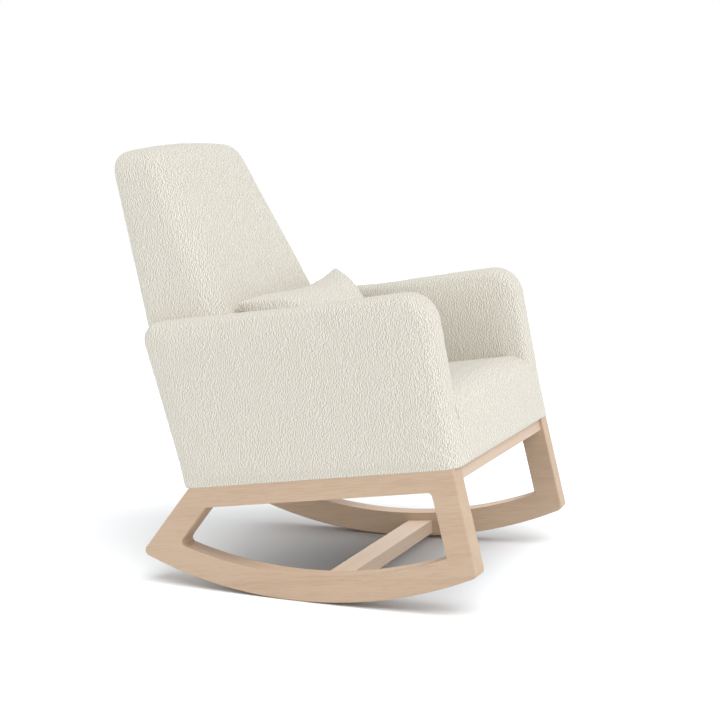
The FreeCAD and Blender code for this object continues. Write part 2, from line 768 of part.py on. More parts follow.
def back_form(front, rear, top, side, drop, rims):
    """Back body with its inside, outside, top and side faces moved in, and its foot lowered by a drop.

    Above the arms it is as wide as its outline, and below their tops it fits between them.
    """
    profile = inset(back_side_corners(), [-drop, rear, -4 * BACK_TOP_CROWN, front])
    wedge = slab(profile, -BASE_WIDTH, BASE_WIDTH)
    outline = inset(back_front_corners(), [-drop, side, top, top, side])
    wire = rounded(outline, lambda x, z: Vector(x, -FAR, z))
    body = wedge.common(Part.Face(wire).extrude(Vector(0, 2 * FAR, 0)))
    if rims:
        lean_front = math.cos(math.radians(BACK_FRONT_LEAN))
        lean_rear = math.cos(math.radians(REAR_LEAN))
        foot = RAIL_TOP - drop + 0.01

        def on_inside(point):
            inward = (point.y - back_front_y(point.z)) * lean_front - front
            return abs(inward) < 0.01 and point.z > foot

        def on_outside(point):
            inward = (rear_y(point.z) - point.y) * lean_rear - rear
            return abs(inward) < 0.01 and point.z > foot

        body = padded_rim(body, on_inside, BACK_FRONT_EDGE, front)
        body = padded_rim(body, on_outside, BACK_REAR_EDGE, rear)
    beside = SOFT_GAP + side
    arm = toed(box((side_x(-FAR), -FAR, -FAR), (side_x(ARM_THICKNESS + beside), FAR, ARM_TOP + beside)))
    return body.cut(arm).cut(mirrored(arm))


def back_whole(depth, drop):
    """Back body with all its padded faces moved in by one depth."""
    return back_form(depth, depth, depth, depth, drop, True)


def build_back():
    """Frame, webbing, foam and cover of the back."""
    pad = [BACK_PAD_FRONT, BACK_PAD_REAR, BACK_PAD_TOP, BACK_PAD_SIDE]
    hollow = back_form(*pad, COVER, False)
    cover = back_whole(0.0, 0.0).cut(back_whole(COVER, COVER))
    foam = back_whole(COVER + SOFT_GAP, 0.0).cut(hollow)

    strap_front = BACK_PAD_FRONT
    panel_front = strap_front + STRAP_THICKNESS
    profile = inset(back_side_corners(), [0.0, BACK_PAD_REAR, BACK_PAD_TOP + BACK_TOP_CROWN, panel_front])
    opening = inset(profile, [BACK_RAIL_DEPTH, BACK_PANEL_RIM, BACK_PANEL_HEAD, BACK_PANEL_RIM])
    panel = slab(profile, -BACK_PANEL_X - BACK_PANEL_THICKNESS, -BACK_PANEL_X)
    panel = panel.cut(slab(opening, -BASE_WIDTH, BASE_WIDTH))

    low_front, low_rear, top_rear, top_front = [corner[:2] for corner in profile]
    rear_line = (low_rear, top_rear)
    rail_line = shifted(rear_line, BACK_RAIL_THICKNESS)
    high = top_rear[1]
    top_rail = slab(strip(rail_line, rear_line, high - BACK_RAIL_DEPTH, high), -BACK_PANEL_X, BACK_PANEL_X)
    low_rail = slab(
        strip(rail_line, rear_line, RAIL_TOP, RAIL_TOP + BACK_RAIL_DEPTH), -BACK_PANEL_X, BACK_PANEL_X
    )

    straps = []
    along = Vector(0, top_front[0] - low_front[0], top_front[1] - low_front[1]).normalize()
    ahead = Vector(0, -along.z, along.y)
    reach = BACK_PANEL_X + BACK_PANEL_THICKNESS
    for index in range(BACK_STRAP_COUNT):
        start = BACK_STRAP_FIRST + index * BACK_STRAP_PITCH
        foot = Vector(0, low_front[0], low_front[1]) + along * start
        corners = [foot, foot + along * STRAP_WIDTH]
        corners += [corners[1] + ahead * STRAP_THICKNESS, foot + ahead * STRAP_THICKNESS]
        straps.append(slab(sharp([(c.y, c.z) for c in corners]), -reach, reach))

    save_pair("back_panel", panel)
    save("back_top_rail", [top_rail])
    save("back_low_rail", [low_rail])
    save("back_webbing", straps)
    save("back_foam", [largest(foam)])
    save("back_cover", [largest(cover)])


def seat_rail_front_y():
    """Y of the front face of the seat's front rail."""
    return FRONT_TOP_Y - SEAT_FRONT_OVERHANG + COVER + SOFT_GAP + SEAT_LIP


def seat_deck_z():
    """Height of the felt's top, which carries the seat foam."""
    return RAIL_TOP + SEAT_RAIL_DEPTH + STRAP_THICKNESS + SEAT_FELT


def seat_form(depth, drop):
    """Crowned seat with a rounded front edge, moved in by a depth, before its deck is cut out."""
    front = FRONT_TOP_Y - SEAT_FRONT_OVERHANG
    top = SEAT_TOP + SEAT_CROWN
    corners = sharp([
        (front, RAIL_TOP),
        (back_front_y(RAIL_TOP), RAIL_TOP),
        (back_front_y(top), top),
        (front, top),
    ])
    solid = slab(inset(corners, [-drop, depth + SOFT_GAP, depth, depth]), -BASE_WIDTH, BASE_WIDTH)
    solid = between_sides(solid, ARM_THICKNESS + SOFT_GAP + depth)
    half = half_width(front, ARM_THICKNESS)
    radius = (half ** 2 + SEAT_CROWN ** 2) / (2 * SEAT_CROWN)
    barrel = Part.makeCylinder(
        radius - depth, 2 * FAR, Vector(0, -FAR, SEAT_TOP + SEAT_CROWN - radius), Vector(0, 1, 0)
    )
    solid = solid.common(barrel)

    def on_top(point):
        return abs(math.hypot(point.x, point.z - (top - radius)) - (radius - depth)) < 0.01

    def on_front(point):
        return on_top(point) and abs(point.y - front - depth) < 0.01

    return padded_rim(solid, on_front, SEAT_FRONT_RADIUS, depth)


def build_seat():
    """Seat frame, webbing, felt, foam and cover."""
    deep = ARM_BOARD_INSET + ARM_BOARD_THICKNESS
    low, high = RAIL_TOP, RAIL_TOP + SEAT_RAIL_DEPTH
    front_y = seat_rail_front_y()
    rails = []
    for y in (front_y, SEAT_REAR_RAIL_Y):
        bar = box((-BASE_WIDTH, y, low), (BASE_WIDTH, y + SEAT_RAIL_THICKNESS, high))
        rails.append(between_sides(bar, deep))

    blocks = []
    for y, sign in ((front_y + SEAT_RAIL_THICKNESS, 1), (SEAT_REAR_RAIL_Y, -1)):
        x = -half_width(y, deep)
        reach = CORNER_BLOCK
        corners = [
            Vector(x - reach, y, low),
            Vector(x + reach, y, low),
            Vector(x - reach, y + sign * 2 * reach, low),
        ]
        wedge = Part.Face(Part.makePolygon(corners + corners[:1]))
        wedge = wedge.extrude(Vector(0, 0, CORNER_BLOCK_DEPTH))
        block = largest(between_sides(wedge, deep))
        blocks.append(block)
        blocks.append(mirrored(block))

    straps = []
    for index in range(SEAT_STRAP_COUNT):
        x = (index - (SEAT_STRAP_COUNT - 1) / 2) * SEAT_STRAP_PITCH
        straps.append(box(
            (x - STRAP_WIDTH / 2, front_y, high),
            (x + STRAP_WIDTH / 2, SEAT_REAR_RAIL_Y + SEAT_RAIL_THICKNESS, high + STRAP_THICKNESS),
        ))

    felt_low = high + STRAP_THICKNESS
    felt = box(
        (-BASE_WIDTH, front_y, felt_low),
        (BASE_WIDTH, SEAT_REAR_RAIL_Y + SEAT_RAIL_THICKNESS, seat_deck_z()),
    )
    felt = between_sides(felt, ARM_THICKNESS + COVER + 2 * SOFT_GAP)

    deck = box((-BASE_WIDTH, front_y, RAIL_TOP - FAR), (BASE_WIDTH, FAR, seat_deck_z()))
    cover = seat_form(0.0, 0.0).cut(seat_form(COVER, COVER)).cut(deck)
    foam = seat_form(COVER + SOFT_GAP, 0.0).cut(deck)

    front_rail_rear = FRONT_TOP_Y + FRONT_RAIL_SETBACK + CROSS_THICKNESS
    rear_rail_front = REAR_TOP_Y - REAR_RAIL_SETBACK - CROSS_THICKNESS
    dust = box(
        (-BASE_WIDTH, front_rail_rear + DUST_COVER_GAP, RAIL_TOP - DUST_COVER_THICKNESS),
        (BASE_WIDTH, rear_rail_front - DUST_COVER_GAP, RAIL_TOP),
    )
    dust = between_sides(dust, FRAME_THICKNESS + DUST_COVER_GAP)

    save("seat_front_rail", [rails[0]])
    save("seat_rear_rail", [rails[1]])
    save("seat_corner_blocks", blocks)
    save("seat_webbing", straps)
    save("seat_felt", [felt])
    save("seat_foam", [largest(foam)])
    save("seat_cover", [largest(cover)])
    save("dust_cover", [dust])


def lens(half, front, rear, place, along):
    """Solid between two arcs that meet in sharp edges, pushed out along a direction."""
    inside = Part.Arc(place(-half, 0), place(0, -front), place(half, 0)).toShape()
    outside = Part.Arc(place(half, 0), place(0, rear), place(-half, 0)).toShape()
    return Part.Face(Part.Wire([inside, outside])).extrude(along)


def pillow_body(width, height, depth):
    """Pillow about its own centre: a lens along its width cut by a fuller lens along its height."""
    front = PILLOW_FRONT_SWELL - depth
    rear = PILLOW_REAR_SWELL - depth
    end = PILLOW_END_SWELL
    across = Vector(2 * width, 0, 0)
    tall = lens(height / 2, front, rear, lambda z, y: Vector(-width, y, z), across)
    upwards = Vector(0, 0, 2 * height)
    wide = lens(width / 2, front * end, rear * end, lambda x, y: Vector(x, y, -height), upwards)
    return tall.common(wide)


def drawn_in(body, half, bow, outwards):
    """The pillow with one edge drawn in along an arc and bevelled to a sharp seam."""
    span = PILLOW_HEIGHT if abs(outwards.x) > 0 else PILLOW_WIDTH
    radius = ((span / 2) ** 2 + bow ** 2) / (2 * bow)
    centre = outwards * (half - bow + radius)
    reach = PILLOW_FRONT_SWELL + PILLOW_REAR_SWELL
    flare = radius + reach * PILLOW_BEVEL
    for side in (-1, 1):
        cone = Part.makeCone(radius, flare, reach, centre, Vector(0, side, 0))
        body = body.cut(cone)
    return body


def pillow_outside():
    """Outer form of the pillow with all four edges drawn in."""
    body = pillow_body(PILLOW_WIDTH, PILLOW_HEIGHT, 0.0)
    for sign in (-1, 1):
        body = drawn_in(body, PILLOW_WIDTH / 2, PILLOW_END_DRAW_IN, Vector(sign, 0, 0))
        body = drawn_in(body, PILLOW_HEIGHT / 2, PILLOW_DRAW_IN, Vector(0, 0, sign))
    return body


def pillow_inside(depth):
    """Filling of the pillow, kept clear of the seams."""
    width = PILLOW_WIDTH - 2 * (PILLOW_END_DRAW_IN + PILLOW_SEAM + depth)
    height = PILLOW_HEIGHT - 2 * (PILLOW_DRAW_IN + PILLOW_SEAM + depth)
    return pillow_body(width, height, depth)


def build_pillow():
    """Cover and filling of the lumbar pillow, leaning on the back and standing on the seat."""
    whole = pillow_outside()
    lean = math.radians(BACK_FRONT_LEAN)
    resting = Vector(0, -math.cos(lean), math.sin(lean))
    upwards = Vector(0, math.sin(lean), math.cos(lean))

    def placed(shape, lift, off):
        turned = shape.copy()
        turned.rotate(Vector(0, 0, 0), Vector(0, 1, 0), -PILLOW_TILT)
        turned.rotate(Vector(0, 0, 0), Vector(1, 0, 0), -BACK_FRONT_LEAN)
        foot = Vector(PILLOW_SHIFT, back_front_y(SEAT_TOP), SEAT_TOP)
        turned.translate(foot + upwards * lift + resting * off)
        return turned

    seat = seat_form(0.0, 0.0)
    back = back_whole(0.0, 0.0)
    off = 2 * PILLOW_REAR_SWELL
    lift = PILLOW_HEIGHT
    for _ in range(3):
        off -= placed(whole, lift, off).distToShape(back)[0] - SOFT_GAP
        lift -= placed(whole, lift, off).distToShape(seat)[0] - SOFT_GAP
    shell = whole.cut(pillow_inside(PILLOW_COVER))
    save("pillow_cover", [placed(shell, lift, off)])
    save("pillow_filling", [placed(pillow_inside(PILLOW_COVER + SOFT_GAP), lift, off)])


def main():
    """Build every node of the chair."""
    os.makedirs("parts", exist_ok=True)
    bores = build_base()
    build_back()
    build_arms(bores)
    build_seat()
    build_pillow()


main()
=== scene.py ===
"""Looks of the upholstered rocking chair: padded boucle shell, loose pillow and maple rocker base.

The chair faces -Y, +X is the sitter's left and +Z is up. Sizes are in millimetres unless a name says
otherwise, and meshes are in metres.
"""

import logging
import math
from collections.abc import Iterator
from contextlib import contextmanager
from dataclasses import dataclass, field
from enum import Enum
from typing import Any

import bpy
import numpy as np
from mathutils import Euler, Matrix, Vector

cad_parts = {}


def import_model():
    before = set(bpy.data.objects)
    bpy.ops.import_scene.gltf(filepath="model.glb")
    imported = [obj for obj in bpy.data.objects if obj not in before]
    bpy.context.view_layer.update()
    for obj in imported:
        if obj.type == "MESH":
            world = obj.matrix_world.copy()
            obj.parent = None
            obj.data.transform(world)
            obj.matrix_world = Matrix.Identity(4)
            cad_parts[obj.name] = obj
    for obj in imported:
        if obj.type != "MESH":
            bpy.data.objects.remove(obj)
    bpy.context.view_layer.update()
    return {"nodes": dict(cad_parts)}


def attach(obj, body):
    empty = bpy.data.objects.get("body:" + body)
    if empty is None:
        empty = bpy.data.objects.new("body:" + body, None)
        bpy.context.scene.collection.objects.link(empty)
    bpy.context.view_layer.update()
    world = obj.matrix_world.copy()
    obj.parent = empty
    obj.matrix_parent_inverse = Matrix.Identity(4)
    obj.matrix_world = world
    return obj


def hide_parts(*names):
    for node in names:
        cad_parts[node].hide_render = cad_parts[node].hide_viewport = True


LOG = logging.getLogger("rocking_chair")

WHITE = "#ffffff"

# The chair rests rolled back on its runners by this angle, so its rails slope by it too.
REST_TILT = math.radians(8.45)

# Up direction of the chair's own frame, and a point on the plane of the arm tops, in metres.
CHAIR_UP = Vector((0.0, math.sin(REST_TILT), math.cos(REST_TILT)))
ARM_TOP_POINT = Vector((0.0, -0.0517, 0.6218))

# Distance from the plane of the arm tops down to the plane of the rails' tops.
RAIL_TOP_DROP = 357.0

# Points up to this far above a plane count as lying on it.
PLANE_MARGIN = 2.0

# Points whose outward direction has a larger Y than this are the rear of a piece.
REAR_FACING = 0.3

# Points closer than this are merged, in metres.
MERGE_DISTANCE = 1e-5

# Edges of a pad that turn by more than this stay sharp.
SHARP_ANGLE = math.radians(50.0)


class Side(Enum):
    """A side of the chair, as the sitter names it."""

    LEFT = "left"
    RIGHT = "right"


class Grain(Enum):
    """Direction in which the wood grain of a piece runs."""

    ALONG_RAIL = "rail"
    ACROSS_CHAIR = "cross"


def metres(millimetres: float) -> float:
    """Millimetres as metres."""
    return millimetres / 1000.0


def per_metre(millimetres: float) -> float:
    """Texture scale that gives one repeat in this many millimetres."""
    return 1000.0 / millimetres


def linear_colour(text: str) -> tuple[float, float, float, float]:
    """Turn an sRGB hex colour into a linear one.

    Args:
        text: colour such as "#e6e3da".

    Returns:
        Linear red, green, blue and an alpha of 1.
    """
    values = [int(text[i:i + 2], 16) / 255.0 for i in (1, 3, 5)]
    parts = [v / 12.92 if v <= 0.04045 else ((v + 0.055) / 1.055) ** 2.4 for v in values]
    return (parts[0], parts[1], parts[2], 1.0)


def add_node(
    tree: bpy.types.NodeTree,
    kind: str,
    settings: dict[Any, Any] | None = None,
    links: dict[Any, Any] | None = None,
) -> bpy.types.Node:
    """Add one shader node.

    Args:
        tree: node tree that gets the node.
        kind: Blender's name of the node type.
        settings: values for the node's own properties, or for its inputs by name or number.
        links: output sockets for its inputs, by name or number.

    Returns:
        The new node.
    """
    node = tree.nodes.new(kind)
    for key, value in (settings or {}).items():
        if isinstance(key, str) and key not in node.inputs:
            setattr(node, key, value)
        else:
            node.inputs[key].default_value = value
    for key, source in (links or {}).items():
        tree.links.new(source, node.inputs[key])
    return node


def set_ramp(ramp: bpy.types.Node, stops: list[tuple[float, str]]) -> None:
    """Give a colour ramp its stops.

    Args:
        ramp: colour ramp node.
        stops: places from 0 to 1 and their sRGB hex colours.
    """
    elements = ramp.color_ramp.elements
    while len(elements) < len(stops):
        elements.new(0.5)
    for element, (place, colour) in zip(elements, stops):
        element.position = place
        element.color = linear_colour(colour)


def blank_material(name: str) -> tuple[bpy.types.Material, bpy.types.NodeTree]:
    """Make a material with no nodes.

    Args:
        name: name of the material.

    Returns:
        The material and its empty node tree.
    """
    material = bpy.data.materials.new(name)
    material.use_nodes = True
    material.node_tree.nodes.clear()
    return material, material.node_tree


@dataclass(frozen=True)
class BoucleFinish:
    """Ivory wool boucle, woven with looped yarn.

    Its short upright curls are matt, and are lit and shaded by their own relief. Their colour also holds
    painted
    light and shade: each curl is painted lighter on one side and darker on the other.
    """

    name: str = "boucle_wool_looped_ivory"
    # Painted light and shade: the pale colour paints the lit side of each curl and the dark colour its
    # shaded side.
    painted_lit_side: str = "#f2efe7"
    painted_lit_stop: float = 0.6
    painted_shade_side: str = "#bbb6a6"
    painted_shade_stop: float = 0.4
    loop_width: float = 2.5
    loop_length: float = 3.9
    side_step: float = 1.2
    curl_axis: tuple[float, float, float] = (0.5, 0.0, 0.87)
    cross_scale: float = 1.6
    relief: float = 1.6
    relief_strength: float = 1.0

    def material(self) -> bpy.types.Material:
        """Build the cloth from wandering curls that stand mostly upright."""
        material, tree = blank_material(self.name)
        source = add_node(tree, "ShaderNodeTexCoord")
        place, facing = source.outputs["Object"], source.outputs["Normal"]
        # Across the chair, curls are drawn wider than real, since faces seen at a slant hide finer ones.
        wide = self.loop_width * self.cross_scale
        scale = (per_metre(wide), per_metre(self.loop_width), per_metre(self.loop_length))
        step = (metres(self.side_step * self.cross_scale), metres(self.side_step), 0.0)
        # The second sample lies beside the first one on the surface, so only narrow curls differ there.
        # Their difference
        # becomes painted light and shade: one side of each curl is painted lighter, the other darker.
        sideways = add_node(
            tree, "ShaderNodeVectorMath", {"operation": "CROSS_PRODUCT", 1: self.curl_axis}, {0: facing}
        ).outputs[0]
        beside = add_node(
            tree, "ShaderNodeVectorMath",
            {"operation": "MULTIPLY_ADD", 1: step},
            {0: sideways, 2: place},
        ).outputs[0]
        heights = []
        for point in (place, beside):
            drawn = add_node(tree, "ShaderNodeMapping", {"Scale": scale}, {"Vector": point}).outputs[0]
            loops = add_node(
                tree, "ShaderNodeTexNoise", {"Scale": 1.0, "Detail": 1.0}, {"Vector": drawn}
            )
            heights.append(loops.outputs["Fac"])
        painted_curl_shading = add_node(
            tree, "ShaderNodeMath", {"operation": "SUBTRACT"}, {0: heights[1], 1: heights[0]}
        ).outputs[0]
        # No difference is the middle of the ramp.
        tone = add_node(
            tree, "ShaderNodeMath", {"operation": "ADD", 1: 0.5}, {0: painted_curl_shading}
        ).outputs[0]
        ramp = add_node(tree, "ShaderNodeValToRGB", {}, {"Fac": tone})
        # The ramp turns each curl's sideways slope into painted light on one side and painted shade on the
        # other.
        set_ramp(ramp, [(self.painted_shade_stop, self.painted_shade_side), (self.painted_lit_stop, self.painted_lit_side)])
        bump = add_node(
            tree, "ShaderNodeBump",
            {"Strength": self.relief_strength, "Distance": metres(self.relief)},
            {"Height": heights[0]},
        ).outputs["Normal"]
        shader = add_node(
            tree, "ShaderNodeBsdfPrincipled",
            {
                "Roughness": 0.92,
                "Specular IOR Level": 0.15,
                "Sheen Weight": 0.08,
                "Sheen Roughness": 0.6,
            },
            {"Base Color": ramp.outputs["Color"], "Normal": bump},
        )
        add_node(tree, "ShaderNodeOutputMaterial", {}, {"Surface": shader.outputs[0]})
        return material


@dataclass(frozen=True)
class MapleFinish:
    """Pale maple, planed and sealed with satin oil: fine straight grain and a soft wide highlight."""

    grain: Grain
    pale: str = "#cab198"
    middle: str = "#c6ac93"
    dark: str = "#bea38a"
    stops: tuple[float, float, float] = (0.62, 0.88, 1.0)
    grain_width: float = 2.6
    grain_length: float = 190.0
    band_width: float = 26.0
    band_length: float = 760.0
    band_share: float = 0.55
    pore_width: float = 0.9
    pore_length: float = 14.0
    pore_share: float = 0.25
    relief: float = 0.3
    roughness: float = 0.42

    def material(self) -> bpy.types.Material:
        """Build the wood from long fine streaks along its grain."""
        material, tree = blank_material(f"maple_planed_oiled_{self.grain.value}")
        place = add_node(tree, "ShaderNodeTexCoord").outputs["Object"]
        level = add_node(
            tree, "ShaderNodeMapping", {"Rotation": (REST_TILT, 0.0, 0.0)}, {"Vector": place}
        ).outputs[0]
        axis = {Grain.ACROSS_CHAIR: 0, Grain.ALONG_RAIL: 1}[self.grain]

        def streaks(width: float, length: float, detail: float) -> bpy.types.NodeSocket:
            """Noise drawn out along the grain.

            Args:
                width: width of a streak.
                length: length of a streak.
                detail: octaves of finer streaks.

            Returns:
                Socket with a value from 0 to 1.
            """
            scale = [per_metre(width)] * 3
            scale[axis] = per_metre(length)
            drawn = add_node(tree, "ShaderNodeMapping", {"Scale": tuple(scale)}, {"Vector": level})
            noise = add_node(
                tree, "ShaderNodeTexNoise",
                {"Scale": 1.0, "Detail": detail, "Roughness": 0.55, "Distortion": 0.3},
                {"Vector": drawn.outputs[0]},
            )
            return noise.outputs["Fac"]

        fine = streaks(self.grain_width, self.grain_length, 3.0)
        bands = streaks(self.band_width, self.band_length, 1.0)
        pores = streaks(self.pore_width, self.pore_length, 1.0)
        mixed = add_node(
            tree, "ShaderNodeMath", {"operation": "MULTIPLY_ADD", 1: self.band_share}, {0: bands, 2: fine}
        ).outputs[0]
        tone = add_node(
            tree, "ShaderNodeMath", {"operation": "MULTIPLY_ADD", 1: self.pore_share}, {0: pores, 2: mixed}
        ).outputs[0]
        ramp = add_node(tree, "ShaderNodeValToRGB", {}, {"Fac": tone})
        set_ramp(ramp, list(zip(self.stops, (self.dark, self.middle, self.pale))))
        bump = add_node(
            tree, "ShaderNodeBump",
            {"Strength": 0.12, "Distance": metres(self.relief)},
            {"Height": fine},
        ).outputs["Normal"]
        shader = add_node(
            tree, "ShaderNodeBsdfPrincipled",
            {"Roughness": self.roughness, "IOR": 1.5, "Specular IOR Level": 0.35},
            {"Base Color": ramp.outputs["Color"], "Normal": bump},
        )
        add_node(tree, "ShaderNodeOutputMaterial", {}, {"Surface": shader.outputs[0]})
        return material


@dataclass(frozen=True)
class SpeckledFinish:
    """A plain matt stuff whose only pattern is a fine even speckle of two near colours."""

    name: str
    light: str
    dark: str
    speck_size: float
    roughness: float
    stretch: tuple[float, float, float] = (1.0, 1.0, 1.0)
    stops: tuple[float, float] = (0.3, 0.7)
    relief: float = 0.2

    def material(self) -> bpy.types.Material:
        """Build the speckle, drawn out by the stretch where the stuff has a direction."""
        material, tree = blank_material(self.name)
        place = add_node(tree, "ShaderNodeTexCoord").outputs["Object"]
        scale = tuple(per_metre(self.speck_size * part) for part in self.stretch)
        drawn = add_node(tree, "ShaderNodeMapping", {"Scale": scale}, {"Vector": place}).outputs[0]
        speck = add_node(
            tree, "ShaderNodeTexNoise", {"Scale": 1.0, "Detail": 2.0}, {"Vector": drawn}
        ).outputs["Fac"]
        ramp = add_node(tree, "ShaderNodeValToRGB", {}, {"Fac": speck})
        set_ramp(ramp, list(zip(self.stops, (self.dark, self.light))))
        bump = add_node(
            tree, "ShaderNodeBump",
            {"Strength": 0.3, "Distance": metres(self.relief)},
            {"Height": speck},
        ).outputs["Normal"]
        shader = add_node(
            tree, "ShaderNodeBsdfPrincipled",
            {"Roughness": self.roughness, "Specular IOR Level": 0.2},
            {"Base Color": ramp.outputs["Color"], "Normal": bump},
        )
        add_node(tree, "ShaderNodeOutputMaterial", {}, {"Surface": shader.outputs[0]})
        return material


@dataclass(frozen=True)
class ZincFinish:
    """Steel screws, zinc plated: pale grey metal with a slightly mottled gloss."""

    name: str = "steel_zinc_plated"
    colour: str = "#b9bcc0"
    mottle_size: float = 2.0

    def material(self) -> bpy.types.Material:
        """Build the plated metal, its gloss broken by a fine mottle."""
        material, tree = blank_material(self.name)
        place = add_node(tree, "ShaderNodeTexCoord").outputs["Object"]
        mottle = add_node(
            tree, "ShaderNodeTexNoise",
            {"Scale": per_metre(self.mottle_size), "Detail": 1.0},
            {"Vector": place},
        ).outputs["Fac"]
        gloss = add_node(
            tree, "ShaderNodeMapRange",
            {"From Min": 0.3, "From Max": 0.7, "To Min": 0.25, "To Max": 0.42},
            {"Value": mottle},
        ).outputs[0]
        shader = add_node(
            tree, "ShaderNodeBsdfPrincipled",
            {"Base Color": linear_colour(self.colour), "Metallic": 1.0},
            {"Roughness": gloss},
        )
        add_node(tree, "ShaderNodeOutputMaterial", {}, {"Surface": shader.outputs[0]})
        return material


def paint(piece: bpy.types.Object, material: bpy.types.Material) -> None:
    """Give a piece one material.

    Args:
        piece: mesh object.
        material: its only material.
    """
    piece.data.materials.clear()
    piece.data.materials.append(material)


def hold(piece: bpy.types.Object) -> None:
    """Select one piece alone and make it the active one.

    Args:
        piece: mesh object.
    """
    bpy.ops.object.select_all(action="DESELECT")
    piece.select_set(True)
    bpy.context.view_layer.objects.active = piece


@contextmanager
def editing(piece: bpy.types.Object) -> Iterator[None]:
    """Edit a piece, with its whole mesh selected at the start.

    Args:
        piece: mesh object.

    Yields:
        Nothing, while the piece is in edit mode.
    """
    hold(piece)
    bpy.ops.object.mode_set(mode="EDIT")
    bpy.ops.mesh.select_all(action="SELECT")
    yield
    bpy.ops.object.mode_set(mode="OBJECT")


def apply_modifier(piece: bpy.types.Object, kind: str, settings: dict[str, Any]) -> None:
    """Add a modifier and apply it.

    Args:
        piece: mesh object.
        kind: Blender's name of the modifier type.
        settings: values for the modifier.
    """
    hold(piece)
    modifier = piece.modifiers.new(kind.lower(), kind)
    for key, value in settings.items():
        setattr(modifier, key, value)
    bpy.ops.object.modifier_apply(modifier=modifier.name)


def points_of(piece: bpy.types.Object) -> np.ndarray:
    """Read a piece's points.

    Args:
        piece: mesh object.

    Returns:
        Array of X, Y and Z for each point.
    """
    flat = np.empty(len(piece.data.vertices) * 3, np.float32)
    piece.data.vertices.foreach_get("co", flat)
    return flat.reshape(-1, 3).astype(np.float64)


def normals_of(piece: bpy.types.Object) -> np.ndarray:
    """Read the outward directions at a piece's points.

    Args:
        piece: mesh object.

    Returns:
        Array of unit X, Y and Z for each point.
    """
    flat = np.empty(len(piece.data.vertices) * 3, np.float32)
    piece.data.vertex_normals.foreach_get("vector", flat)
    return flat.reshape(-1, 3).astype(np.float64)


def move_points(piece: bpy.types.Object, points: np.ndarray) -> None:
    """Write a piece's points.

    Args:
        piece: mesh object.
        points: array of X, Y and Z for each point.
    """
    piece.data.vertices.foreach_set("co", points.astype(np.float32).ravel())
    piece.data.update()


def height_over_rail(points: np.ndarray) -> np.ndarray:
    """Height of points over the plane of the rails' tops.

    Args:
        points: array of X, Y and Z in metres.

    Returns:
        Heights in millimetres, measured square to the rails.
    """
    offset = points - np.array(ARM_TOP_POINT)
    return offset @ np.array(CHAIR_UP) * 1000.0 + RAIL_TOP_DROP


